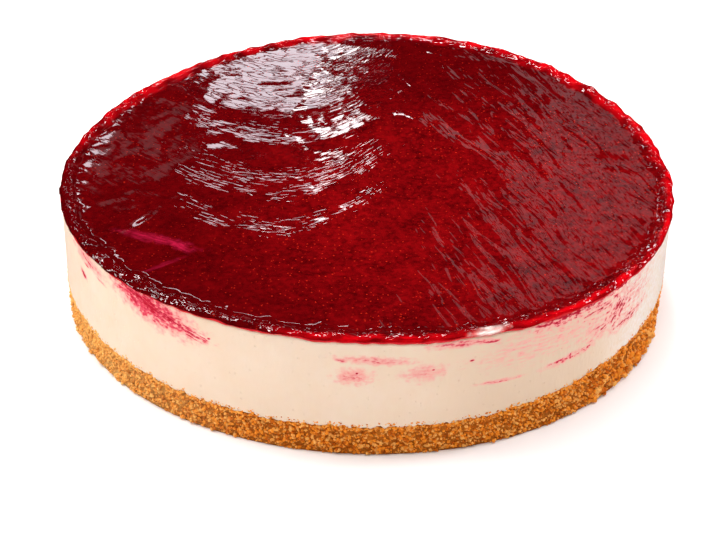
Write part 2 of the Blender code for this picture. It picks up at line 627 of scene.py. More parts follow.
def new_material(name: str) -> tuple[bpy.types.Material, Sheet, bpy.types.Node]:
    """Starts a material.

    Args:
        name: Its name.

    Returns:
        The material, a sheet for its nodes and its Principled shader.
    """
    material = bpy.data.materials.new(name)
    material.use_nodes = True
    return material, Sheet(material.node_tree), material.node_tree.nodes["Principled BSDF"]


@dataclass(frozen=True)
class Smear:
    """Where a thin smear lies on the wall, by angle and turn in degrees and height in mm."""

    angle: float
    height_mm: float
    length_mm: float
    width_mm: float
    turn: float
    strength: float = 1.0
    streaks: float = 0.8

    def mask(self, sheet: Sheet, groups: Groups, wall: Socket, form: CakeForm) -> Socket:
        """Puts the smear in a material.

        Args:
            sheet: The material's sheet.
            groups: The shared effects.
            wall: The point's place along and up the wall, in millimetres.
            form: The cake's form.

        Returns:
            Its mask.
        """
        centre = (math.radians(self.angle + 90.0) * form.radius * PER_MM, self.height_mm, 0.0)
        return sheet.group(
            groups.smear, Place=wall, Centre=centre, Turn=math.radians(self.turn),
            Length=self.length_mm, Width=self.width_mm, Streaks=self.streaks,
        )


@dataclass(frozen=True)
class JellyFinish:
    """Wet strawberry jelly: dark where it is thick, bright red at its thin rim as painted backlight, with
    pulp and seeds.
    """

    deep: Color = (0.040, 0.0001, 0.0008, 1.0)
    body: Color = (0.204, 0.0016, 0.0026, 1.0)
    # Painted light: this bright red on the thin rim stands for light from behind and the right shining
    # through it.
    thin: Color = (0.56, 0.0015, 0.005, 1.0)
    fringe: Color = (0.70, 0.030, 0.040, 1.0)
    speck: Color = (0.72, 0.028, 0.010, 1.0)
    streak: Color = (0.46, 0.010, 0.050, 1.0)
    cream: Color = (0.95, 0.82, 0.75, 1.0)
    roughness: float = 0.035
    ior: float = 1.40
    middle_mm: tuple = (48.0, -38.0, 50.0)
    outer_dark: float = 0.62
    along: float = 0.085
    across: float = 0.25
    right_turn: float = 65.0
    calm: float = 0.35
    lively: float = 0.42
    glint_depth: float = 2.7
    wet_depth: float = 0.28
    crease: float = 0.42
    # Zones in millimetres, each fading in from its first number to its second
    wet_line: tuple = (36.0, 52.0)
    wet_side: tuple = (16.0, 0.0)
    low_line: tuple = (-78.0, -56.0)
    low_side: tuple = (-104.0, -80.0)
    glint_left: tuple = (-30.0, -14.0)
    glint_right: tuple = (18.0, 2.0)
    glint_back: tuple = (28.0, 58.0)
    band_left: tuple = (-92.0, -70.0)
    band_right: tuple = (20.0, -6.0)
    right_half: tuple = (-6.0, 30.0)
    bands: tuple = ((24.0, 18.0, 0.52), (-20.0, 20.0, 1.10), (-54.0, 14.0, 1.05))
    band_strokes: tuple = (1.8, 1.9, 1.0)
    wide_strokes: tuple = (0.030, 0.120, 0.0)
    fine_strokes: tuple = (0.080, 0.34, 0.0)
    right_depth: float = 5.5
    fine_depth: float = 1.0
    ripple_depth: float = 0.00012
    crumple_depth: float = 0.00095
    streaks: tuple = (
        ((-84.0, -65.0), -19.0, 22.0, 4.0, 0.55),
        ((-73.5, -70.5), -38.0, 8.0, 3.4, 0.55),
        ((-79.0, -84.0), 38.0, 12.0, 1.8, 0.30),
    )
    speck_sizes: tuple = ((0.62, 0.22), (0.30, 0.14))
    bare: Smear = Smear(-69.3, 54.2, 9.0, 1.9, 4, streaks=0.5)

    def ripples(self, sheet: Sheet, place: Socket, form: CakeForm) -> Socket:
        """Fine ripples that run with the spatula's strokes.

        Args:
            sheet: The material's sheet.
            place: The point's place in millimetres.
            form: The cake's form.

        Returns:
            Their height, around 0.5.
        """
        x, y, _ = sheet.split(place)
        off = sheet.math("SUBTRACT", x, form.stroke_x * PER_MM)
        to_right = sheet.math("GREATER_THAN", off, 0.0)
        wider = (form.bend_right - form.bend_left) * PER_MM
        bend = sheet.math("MULTIPLY_ADD", to_right, wider, form.bend_left * PER_MM)
        rise = sheet.math("MULTIPLY_ADD", to_right, form.rise_right - form.rise_left, form.rise_left)
        squares = sheet.math("MULTIPLY_ADD", off, off, sheet.times(bend, bend))
        far = sheet.math("SUBTRACT", sheet.math("SQRT", squares), bend)
        line = sheet.math("SUBTRACT", y, sheet.times(rise, far))
        curved = sheet.join(sheet.times(off, self.along), sheet.times(line, self.across))
        soft = sheet.noise(curved, 1.0, detail=2.2, twist=0.8)
        level = sheet.noise(sheet.vector("ADD", curved, (7.3, 2.1, 0.0)), 0.95, detail=1.0, twist=1.1)
        crease = sheet.step(sheet.math("ABSOLUTE", sheet.math("SUBTRACT", level, 0.5)), 0.0, 0.038)
        wet_zone = sheet.times(sheet.step(line, *self.wet_line), sheet.step(x, *self.wet_side))
        low_left = sheet.times(sheet.step(line, *self.low_line), sheet.step(x, *self.low_side))
        depth = sheet.math("MULTIPLY_ADD", low_left, self.lively - self.calm, self.calm)
        glints = sheet.times(sheet.step(x, *self.glint_left), sheet.step(x, *self.glint_right))
        glints = sheet.times(glints, sheet.step(y, *self.glint_back))
        depth = sheet.math("MULTIPLY_ADD", glints, self.glint_depth, depth)
        depth = sheet.math("MULTIPLY_ADD", wet_zone, self.wet_depth - self.lively, depth)
        patchy = sheet.step(sheet.noise(place, 0.060, detail=2.0), 0.38, 0.62, (0.5, 1.35))
        centred = sheet.math("SUBTRACT", soft, 0.5)
        left = sheet.times(centred, sheet.times(depth, patchy))
        left = sheet.math("MULTIPLY_ADD", crease, sheet.times(wet_zone, self.crease), left)
        small = sheet.noise(sheet.vector("MULTIPLY", curved, self.band_strokes), 1.0, detail=1.0, twist=0.7)
        small = sheet.math("SUBTRACT", small, 0.5)
        band = 0.0
        for middle, half, strength in self.bands:
            away = sheet.math("ABSOLUTE", sheet.math("SUBTRACT", line, middle))
            band = sheet.math("MAXIMUM", band, sheet.step(away, half, 0.3 * half, (0.0, strength)))
        beside = sheet.times(sheet.step(x, *self.band_left), sheet.step(x, *self.band_right))
        band = sheet.times(band, sheet.times(beside, patchy))
        left = sheet.math("MULTIPLY_ADD", small, band, left)
        turned = sheet.node("VectorRotate", rotation_type="Z_AXIS")
        sheet.feed(turned.inputs["Vector"], place)
        turned.inputs["Angle"].default_value = math.radians(self.right_turn)
        wide = sheet.vector("MULTIPLY", turned.outputs[0], self.wide_strokes)
        fine = sheet.vector("MULTIPLY", turned.outputs[0], self.fine_strokes)
        fine = sheet.times(sheet.noise(fine, 1.0, detail=1.0, twist=0.8), self.fine_depth)
        wide = sheet.noise(wide, 1.0, detail=1.5, twist=0.8)
        straight = sheet.math("MULTIPLY_ADD", wide, self.right_depth, fine)
        drawn = sheet.node("Mix", data_type="FLOAT")
        slanted = sheet.math("MULTIPLY_ADD", y, -0.15, x)
        sheet.feed(drawn.inputs["Factor"], sheet.step(slanted, *self.right_half))
        sheet.feed(drawn.inputs["A"], left)
        sheet.feed(drawn.inputs["B"], straight)
        return drawn.outputs["Result"]

    def along_rim(self, sheet: Sheet, place: Socket, rim: Socket) -> Socket:
        """A place that changes slowly along the rim, for patterns that are drawn out along it.

        Args:
            sheet: The material's sheet.
            place: The point's place in millimetres.
            rim: Distance from the rim in millimetres.

        Returns:
            The place.
        """
        x, y, up = sheet.split(place)
        ahead = sheet.vector("SCALE", sheet.vector("NORMALIZE", sheet.join(x, y)), 60.0)
        return sheet.vector("ADD", ahead, sheet.join(0.0, 0.0, sheet.math("ADD", rim, up)))

    def crumple(self, sheet: Sheet, place: Socket, rim: Socket) -> Socket:
        """Small facets in the jelly that clings to the rim.

        Args:
            sheet: The material's sheet.
            place: The point's place in millimetres.
            rim: Distance from the rim in millimetres.

        Returns:
            Their height, 0 away from the rim.
        """
        spot = self.along_rim(sheet, place, rim)
        wavy = sheet.node("TexNoise")
        sheet.feed(wavy.inputs["Vector"], spot)
        wavy.inputs["Scale"].default_value = 0.30
        spot = sheet.vector("ADD", spot, sheet.vector("SCALE", wavy.outputs["Color"], 3.0))
        facets = sheet.cells(spot, 0.34).outputs["Distance"]
        finer = sheet.noise(spot, 0.7, detail=1.0)
        both = sheet.math("MULTIPLY_ADD", finer, 0.30, facets)
        return sheet.times(both, sheet.step(rim, 6.5, 3.0))

    def specks(self, sheet: Sheet, place: Socket, density: float, size: float, kept: float) -> Socket:
        """Specks of seed and pulp just under the surface.

        Args:
            sheet: The material's sheet.
            place: The point's place in millimetres.
            density: Cells in a millimetre, with a speck at most in each.
            size: Radius of a speck, in cells.
            kept: Share of the cells that have one.

        Returns:
            Their mask.
        """
        cell = sheet.cells(place, density)
        chance = sheet.split(cell.outputs["Color"])
        radius = sheet.math("MULTIPLY_ADD", chance[1], 0.6 * size, 0.5 * size)
        dot = sheet.step(sheet.math("DIVIDE", cell.outputs["Distance"], radius), 1.25, 0.55)
        return sheet.times(dot, sheet.times(sheet.math("LESS_THAN", chance[0], kept), chance[2]))

    def build(self, groups: Groups, form: CakeForm) -> bpy.types.Material:
        """Makes the material.

        Args:
            groups: The shared effects.
            form: The cake's form.

        Returns:
            The material.
        """
        material, sheet, shader = new_material("strawberry_jelly")
        place = sheet.place_mm()
        rim = sheet.stored("rim_mm")
        right, back, up = sheet.split(place)
        blotch = groups.mottled(sheet, place, 14.0, 3.0)
        pulp = groups.mottled(sheet, place, 2.2, 4.5)
        thick = sheet.math("ADD", sheet.times(blotch, 0.5), sheet.times(pulp, 0.5))
        color = sheet.mix(thick, self.deep, self.body)
        from_middle = sheet.vector("LENGTH", sheet.vector("SUBTRACT", place, self.middle_mm))
        color = sheet.mix(sheet.step(from_middle, 50.0, 135.0, (0.0, self.outer_dark)), color, self.deep)
        # Painted light: the thin rim is brightened only towards the back and the right, as if lit through
        # from behind.
        at_back, at_right = sheet.step(back, -30.0, 60.0), sheet.step(right, -45.0, -5.0)
        lit_through = sheet.math("MAXIMUM", at_back, at_right, clamp=True)
        reach = sheet.step(back, -70.0, 80.0, (2.2, 8.0))
        wander = sheet.times(reach, sheet.times(sheet.noise(place, 0.09, detail=3.0), 2.0))
        backlit_thin_rim = sheet.times(sheet.step(sheet.math("DIVIDE", rim, wander), 1.1, 0.1), lit_through)
        lumps = sheet.noise(self.along_rim(sheet, place, rim), 0.22, detail=2.0)
        backlit_thin_rim = sheet.times(backlit_thin_rim, sheet.step(lumps, 0.34, 0.60, (0.30, 1.0)))
        color = sheet.mix(backlit_thin_rim, color, self.thin)
        color = sheet.mix(sheet.step(sheet.stored("skirt"), 0.36, 0.06), color, self.fringe)
        seeded = sheet.step(from_middle, 125.0, 60.0, (0.35, 0.9))
        for density, size in self.speck_sizes:
            dots = self.specks(sheet, place, density, size, 0.6)
            color = sheet.mix(sheet.times(dots, seeded), color, self.speck)
        for centre, turn, length, width, strength in self.streaks:
            streak = sheet.group(
                groups.smear, Place=place, Centre=(*centre, 0.0), Turn=math.radians(turn), Length=length,
                Width=width, Streaks=0.6,
            )
            inside = sheet.step(rim, 3.0, 7.0, (0.0, strength))
            color = sheet.mix(sheet.times(streak, inside), color, self.streak)
        shows = self.bare.mask(sheet, groups, sheet.join(sheet.stored("wall_mm"), up), form)
        color = sheet.mix(sheet.times(shows, sheet.step(rim, 2.6, 1.2)), color, self.cream)
        sheet.feed(shader.inputs["Base Color"], color)
        smooth_and_rough = (0.6 * self.roughness, 1.6 * self.roughness)
        wet = sheet.step(groups.mottled(sheet, place, 9.0, 1.6), 0.2, 0.9, smooth_and_rough)
        sheet.feed(shader.inputs["Roughness"], wet)
        shader.inputs["IOR"].default_value = self.ior
        crumpled = sheet.bump(self.crumple(sheet, place, rim), self.crumple_depth)
        rippled = sheet.bump(self.ripples(sheet, place, form), self.ripple_depth, below=crumpled)
        sheet.feed(shader.inputs["Normal"], rippled)
        return material


@dataclass(frozen=True)
class CreamFinish:
    """Set cream cheese filling: ivory, satin, with fine pits and thin smears of jelly, and painted shade and
    glare on its right.
    """

    pale: Color = (0.895, 0.722, 0.572, 1.0)
    warm: Color = (0.862, 0.657, 0.480, 1.0)
    blush: Color = (0.93, 0.43, 0.37, 1.0)
    pulp: Color = (0.80, 0.070, 0.125, 1.0)
    # Painted shade: a darker, warmer tone where the wall right of the front turns away from the light.
    painted_shade: Color = (0.800, 0.605, 0.440, 1.0)
    # Painted highlight: a pale glare on the wall far to the right.
    painted_glare: Color = (0.97, 0.90, 0.88, 1.0)
    stain: Color = (0.53, 0.008, 0.030, 1.0)
    roughness: float = 0.42
    subsurface: float = 0.25
    subsurface_radius: tuple = (1.0, 0.65, 0.4)
    subsurface_scale: float = 0.002
    brush_depth: float = 0.00018
    # Zones along the wall in millimetres, each fading in from its first number to its second
    painted_shade_left: tuple = (15.0, 60.0)
    painted_shade_right: tuple = (112.0, 84.0)
    painted_glare_side: tuple = (92.0, 128.0)
    grainy_side: tuple = (45.0, 85.0)
    brushed_side: tuple = (60.0, 110.0)
    smears: tuple = (
        Smear(-128.5, 48.8, 31.0, 10.5, -12, 0.74, 0.2),
        Smear(-129.2, 49.6, 22.0, 7.2, -13, 1.05, 0.7),
        Smear(-128.0, 49.3, 18.0, 4.6, -13, 1.45, 0.9),
        Smear(-132.0, 51.3, 14.0, 2.4, -9, 1.15, 0.7),
        Smear(-120.5, 44.8, 14.0, 4.4, -12, 0.95, 0.7),
        Smear(-118.6, 43.2, 5.0, 0.8, -8, 0.8, 0.3),
        Smear(-116.3, 44.4, 1.1, 0.8, 10, 1.0, 0.0),
        Smear(-125.8, 48.4, 1.6, 1.1, -20, 1.0, 0.0),
        Smear(-124.3, 47.2, 1.4, 1.0, -20, 1.0, 0.0),
        Smear(-121.8, 46.2, 1.0, 0.7, -20, 0.9, 0.0),
        Smear(-146.0, 49.2, 20.0, 4.2, -4, 0.52, 0.5),
        Smear(-146.8, 46.4, 3.5, 1.3, 0, 0.62, 0.4),
        Smear(-141.5, 45.0, 5.5, 1.0, -6, 0.52, 0.4),
        Smear(-148.3, 39.9, 4.6, 2.4, -22, 0.78, 0.2),
        Smear(-88.0, 45.0, 21.0, 2.8, -2, 0.42, 0.3),
        Smear(-93.5, 44.8, 4.0, 1.6, -12, 0.46, 0.3),
        Smear(-91.5, 37.6, 10.5, 5.4, 4, 0.43, 0.3),
        Smear(-91.0, 39.2, 0.9, 0.7, 0, 1.0, 0.0),
        Smear(-80.0, 38.6, 13.0, 6.0, 6, 0.33, 0.3),
        Smear(-78.5, 39.8, 1.1, 0.6, 0, 0.85, 0.0),
        Smear(-72.0, 42.0, 1.3, 0.6, 5, 0.85, 0.0),
        Smear(-67.0, 30.0, 14.0, 1.4, -1, 0.46, 0.5),
        Smear(-53.0, 30.8, 18.0, 2.8, 4, 0.54, 0.6),
        Smear(-38.0, 33.0, 19.0, 4.0, 6, 0.54, 0.7),
        Smear(-41.5, 42.0, 12.0, 8.0, 55, 0.66, 0.7),
        Smear(-46.0, 37.0, 14.0, 6.0, 15, 0.42, 0.7),
        Smear(-42.0, 43.0, 38.0, 15.0, 3, 0.30, 0.8),
        Smear(-60.0, 43.0, 40.0, 12.0, 2, 0.25, 0.8),
        Smear(-74.0, 50.4, 18.0, 2.6, 1, 0.60, 0.5),
        Smear(-68.5, 49.4, 6.0, 1.1, 2, 0.88, 0.5),
        Smear(-53.0, 51.6, 30.0, 5.0, 2, 0.85, 0.6),
        Smear(-52.5, 51.2, 9.0, 1.5, 3, 1.25, 0.6),
        Smear(-46.5, 47.4, 20.0, 5.0, 9, 0.56, 0.95),
        Smear(-58.5, 50.6, 8.0, 1.3, 0, 1.10, 0.5),
        Smear(-41.5, 52.2, 8.0, 1.6, 4, 1.20, 0.6),
    )

    def build(self, groups: Groups, form: CakeForm) -> bpy.types.Material:
        """Makes the material.

        Args:
            groups: The shared effects.
            form: The cake's form.

        Returns:
            The material.
        """
        material, sheet, shader = new_material("cream_cheese")
        place = sheet.place_mm()
        along = sheet.stored("wall_mm")
        wall = sheet.join(along, sheet.split(place)[2])
        color = sheet.mix(groups.mottled(sheet, place, 22.0, 2.0), self.pale, self.warm)
        # Painted shade on the wall to the right of the front, fading out again further right.
        painted_shade_share = sheet.times(sheet.step(along, *self.painted_shade_left), sheet.step(along, *self.painted_shade_right))
        color = sheet.mix(painted_shade_share, color, self.painted_shade)
        grit = groups.mottled(sheet, place, 1.6, 3.0)
        # Painted highlight: pale glare far to the right, broken up by the grit.
        glare_share = sheet.times(grit, sheet.step(along, *self.painted_glare_side, (0.0, 0.85)))
        color = sheet.mix(glare_share, color, self.painted_glare)
        total = 0.0
        for smear in self.smears:
            weighted = sheet.times(smear.mask(sheet, groups, wall, form), smear.strength)
            total = sheet.math("MAXIMUM", total, weighted)
        fibres = sheet.noise(sheet.vector("MULTIPLY", wall, (0.6, 0.95, 0.0)), 1.0, detail=4.0)
        total = sheet.times(total, sheet.step(fibres, 0.30, 0.62, (0.72, 1.32)))
        sparse = sheet.step(grit, 0.80, 0.30, (-0.45, 0.55))
        grainy = sheet.times(sheet.step(along, *self.grainy_side), sparse)
        total = sheet.times(total, sheet.math("ADD", grainy, 1.0))
        for low, high, stain in ((0.0, 0.34, self.blush), (0.26, 0.66, self.pulp), (0.62, 0.98, self.stain)):
            color = sheet.mix(sheet.step(total, low, high), color, stain)
        sheet.feed(shader.inputs["Base Color"], color)
        sheet.feed(shader.inputs["Roughness"], sheet.step(total, 0.0, 0.8, (self.roughness, 0.2)))
        shader.inputs["Subsurface Weight"].default_value = self.subsurface
        shader.inputs["Subsurface Radius"].default_value = self.subsurface_radius
        shader.inputs["Subsurface Scale"].default_value = self.subsurface_scale
        pits = sheet.cells(place, 0.5)
        filled = sheet.step(pits.outputs["Distance"], 0.05, 0.30)
        kept = sheet.math("GREATER_THAN", sheet.split(pits.outputs["Color"])[0], 0.8)
        hollow = sheet.times(sheet.math("SUBTRACT", 1.0, filled), kept)
        brushed = sheet.noise(sheet.vector("MULTIPLY", place, (0.9, 0.9, 0.25)), 1.0, detail=3.0)
        brushed = sheet.times(brushed, sheet.step(along, *self.brushed_side, (0.6, 1.8)))
        normal = sheet.bump(sheet.math("SUBTRACT", brushed, hollow), self.brush_depth, 0.8)
        sheet.feed(shader.inputs["Normal"], normal)
        return material


@dataclass(frozen=True)
class CrumbFinish:
    """Baked biscuit crumb, mottled between two browns, with painted light making it paler towards the left.
    """

    name: str
    light: Color
    dark: Color
    painted_left_light: Color = (0.98, 0.66, 0.22, 1.0)
    roughness: float = 0.8
    grain_depth: float = 0.0003
    left_side_mm: tuple = (-30.0, -120.0)

    def build(self, groups: Groups) -> bpy.types.Material:
        """Makes the material.

        Args:
            groups: The shared effects.

        Returns:
            The material.
        """
        material, sheet, shader = new_material(self.name)
        place = sheet.place_mm()
        lumps = groups.mottled(sheet, place, 4.5, 3.0)
        grains = groups.mottled(sheet, place, 0.9, 3.0)
        share = sheet.math("ADD", sheet.times(lumps, 0.5), sheet.times(grains, 0.5))
        # Painted light: the crumbs turn paler towards the left side, as if lit more from there.
        to_left = sheet.step(sheet.split(place)[0], *self.left_side_mm, (0.0, 0.45))
        color = sheet.mix(to_left, sheet.mix(share, self.dark, self.light), self.painted_left_light)
        sheet.feed(shader.inputs["Base Color"], color)
        rough = sheet.step(grains, 0.0, 1.0, (self.roughness, self.roughness - 0.2))
        sheet.feed(shader.inputs["Roughness"], rough)
        shader.inputs["Specular IOR Level"].default_value = 0.15
        sheet.feed(shader.inputs["Normal"], sheet.bump(grains, self.grain_depth, 0.7))
        return material


class CrumbKind(Enum):
    """The kinds of loose crumb in the base, by how dark they are baked."""

    PALE = CrumbFinish("crumb_pale", (0.98, 0.53, 0.15, 1.0), (0.93, 0.36, 0.046, 1.0))
    GOLDEN = CrumbFinish("crumb_golden", (0.98, 0.365, 0.034, 1.0), (0.88, 0.245, 0.012, 1.0))
    BROWN = CrumbFinish("crumb_brown", (0.80, 0.205, 0.009, 1.0), (0.46, 0.092, 0.0035, 1.0))


@dataclass
class JellyLayer:
    """The jelly on top, with its raised rim, its sweeps and its ripples."""

    form: CakeForm
    finish: JellyFinish = field(default_factory=JellyFinish)
    step: float = 0.00085
    rim_step: float = 0.00052
    widest: float = 0.0011
    hub: tuple = (0.0012, 12)
    rim_width: float = 0.0070
    top_inset: float = 0.0003
    foot_insets: tuple = (0.003, 0.012)
    bead: tuple = ((0.3, 0.40), (0.8, 0.78), (1.8, 1.0), (3.0, 0.72), (4.2, 0.82), (5.2, 0.35), (7.0, 0.0))
    side: tuple = (
        (0.10, 0.88),
        (-0.20, 0.72),
        (-0.42, 0.52),
        (-0.54, 0.26),
        (-0.56, 0.00),
        (-0.50, -0.16),
        (-0.34, -0.26),
        (0.25, -0.26),
        (0.70, 0.0),
    )
    lump: float = 0.00080
    lump_length: float = 0.0058
    crease_length: float = 0.0042
    lumpy_side: tuple = (0.04, 0.10)
    swell: float = 0.00016
    swell_length: float = 0.016
    wander: float = 0.0030
    wander_length: float = 0.014
    broken_length: float = 0.008
    ridges_start: tuple = (-0.084, -0.056)
    ridges_end: tuple = (-0.010, 0.012)
    ridges: tuple = (
        (0.046, 0.0100, 0.00017),
        (0.0140, 0.0055, 0.00012),
        (-0.033, 0.0060, 0.00020),
        (-0.060, 0.0060, 0.00023),
    )
    sweeps: tuple = (
        Sweep(0.022, 0.038, 0.012, 0.006, -68, 0.00088),
        Sweep(0.034, 0.024, 0.012, 0.006, -68, 0.00088),
        Sweep(0.046, 0.010, 0.012, 0.006, -68, 0.00088),
        Sweep(0.057, -0.004, 0.012, 0.006, -68, 0.00088),
        Sweep(0.024, 0.108, 0.045, 0.006, -14, 0.0005),
        Sweep(0.108, 0.004, 0.014, 0.007, -10, -0.0006),
        Sweep(0.004, 0.037, 0.014, 0.0050, 42, 0.00030),
        Sweep(-0.067, 0.050, 0.034, 0.0110, -24, 0.00036),
        Sweep(-0.088, -0.052, 0.009, 0.0030, 62, 0.00042),
        Sweep(-0.086, -0.066, 0.020, 0.004, -17, 0.00012),
        Sweep(-0.098, 0.030, 0.030, 0.016, 35, 0.00020),
    )

    def strokes(self, x: float, y: float) -> float:
        """Height of the low ridges that the spatula's curved strokes end in.

        Args:
            x: Place to the right of the axis.
            y: Place behind the axis.

        Returns:
            The height.
        """
        line = self.form.stroke_line(x, y)
        height = 0.0
        for number, (place, half, rise) in enumerate(self.ridges):
            wander = self.wander * noise.noise(Vector((x / self.wander_length, 2.5, number * 3.3)))
            away = (line - place + wander) / half
            broken = noise.noise(Vector((x / self.broken_length, number * 7.7, line / 0.02)))
            height += rise * max(0.0, 0.8 + 1.5 * broken) * math.exp(-away * away)
        return height * smooth(*self.ridges_start, x) * (1.0 - smooth(*self.ridges_end, x))

    def surface(self, angle: float, radius: float) -> float:
        """Height of the jelly's top.

        Args:
            angle: Angle round the cake.
            radius: Nominal radius of the point.

        Returns:
            The height.
        """
        form = self.form
        x, y = radius * math.cos(angle), radius * math.sin(angle)
        spot = Vector((x, y, 0.0))
        inward = (form.radius - radius) * PER_MM
        inward *= 1.0 + 0.34 * form.around(angle, 0.006, 2.7) + 0.16 * form.around(angle, 0.0026, 5.9)
        points = ((-9.0, self.bead[0][1]), *self.bead, (999.0, 0.0))
        for (near, low), (far, high) in zip(points, points[1:]):
            if inward <= far:
                bead = low + (high - low) * smooth(near, far, inward)
                break
        flat = smooth(2.0, 12.0, inward)
        height = form.jelly_height + form.rim_rise(angle, radius)
        uneven = 1.0 + 0.45 * form.around(angle, 0.0045, 3.1)
        height += bead * uneven * (form.rim_height - form.jelly_height)
        height += flat * (self.strokes(x, y) + sum(s.at(x, y) for s in self.sweeps))
        height += flat * self.swell * noise.noise(spot / self.swell_length + Vector((0, 0, 2.2)))
        rough = self.lump * (1.0 - 0.93 * smooth(3.0, 9.0, inward))
        rough *= 1.0 + 0.7 * smooth(*self.lumpy_side, x)
        crease = 0.35 - abs(noise.noise(spot / self.crease_length + Vector((0, 0, 4.4))))
        return height + rough * (noise.noise(spot / self.lump_length) + 0.5 * crease)

    def place(self, angle: float, radius: float, share: float) -> Vector:
        """Place of a point of the layer.

        Args:
            angle: Angle round the cake.
            radius: Nominal radius.
            share: 1 on the top face and 0 on the bottom face.

        Returns:
            The place.
        """
        form = self.form
        bottom = form.filling_top(angle, radius) + form.gap
        z = bottom + share * (self.surface(angle, radius) - bottom)
        spot = polar(angle, radius, z)
        outer = smooth(form.radius - 0.005, form.radius, radius) * smooth(-0.1, 0.3, share)
        crease = 0.35 - abs(noise.noise(spot / 0.0045 + Vector((3, 0, 0))))
        outer *= 1.0 + 0.5 * smooth(*self.lumpy_side, spot.x)
        push = self.lump * outer * (noise.noise(spot / 0.0075 + Vector((7, 0, 0))) + 0.5 * crease)
        return polar(angle, radius * form.plan_scale(angle, z) + push, z)

    def build(self, groups: Groups) -> Object:
        """Makes the piece.

        Args:
            groups: The shared effects.

        Returns:
            The dressed piece.
        """
        radius = self.form.radius
        skin = RingSkin(*self.hub)
        skin.spread(radius - self.rim_width, self.step, self.widest)
        skin.spread(radius - self.top_inset, self.rim_step, self.widest)
        for inward, share in self.side:
            skin.ring(radius - inward * MM, share)
        for at in (*(radius - inset for inset in self.foot_insets), MIDDLE_RADIUS, HUB_RADIUS):
            skin.ring(at, 0.0)
        skin.close()
        skin.attribute("rim_mm", lambda co: max(0.0, radius - math.hypot(co.x, co.y)) * PER_MM)
        skin.attribute("wall_mm", self.form.along_wall)
        skin.attribute("skirt", lambda co: co.z)
        skin.shape(self.place)
        piece = skin.finish("jelly_layer")
        piece.data.materials.append(self.finish.build(groups, self.form))
        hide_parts("strawberry_topping")
        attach(piece, "root")
        return piece


@dataclass
class Filling:
    """The thick cream cheese layer, with its smooth wall."""

    form: CakeForm
    finish: CreamFinish = field(default_factory=CreamFinish)
    segments: int = 1152
    rows: int = 46
    wall: tuple = (0.985, 0.970)
    foot_insets: tuple = (0.001, 0.004, 0.012)
    waviness: float = 0.00022

    def place(self, angle: float, radius: float, share: float) -> Vector:
        """Place of a point of the layer.

        Args:
            angle: Angle round the cake.
            radius: Nominal radius.
            share: 1 on the top face and 0 on the bottom face.

        Returns:
            The place.
        """
        form = self.form
        bottom = form.crumb_top(angle, radius) + form.gap
        z = bottom + share * (form.filling_top(angle, radius) - bottom)
        outer = smooth(form.radius - 0.001, form.radius, radius)
        spot = polar(angle, form.radius, z)
        drawn = Vector((spot.x, spot.y, spot.z * 0.35))
        soft = noise.noise(spot / 0.019) + 0.45 * noise.noise(drawn / 0.0036)
        return polar(angle, radius * form.plan_scale(angle, z) + outer * self.waviness * soft, z)

    def build(self, groups: Groups) -> Object:
        """Makes the piece.

        Args:
            groups: The shared effects.

        Returns:
            The dressed piece.
        """
        skin = walled_skin(self.form.radius, self.segments, self.rows, self.wall, self.foot_insets)
        skin.attribute("wall_mm", self.form.along_wall)
        skin.shape(self.place)
        piece = skin.finish("cream_filling")
        piece.data.materials.append(self.finish.build(groups, self.form))
        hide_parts("cheese_filling")
        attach(piece, "root")
        return piece


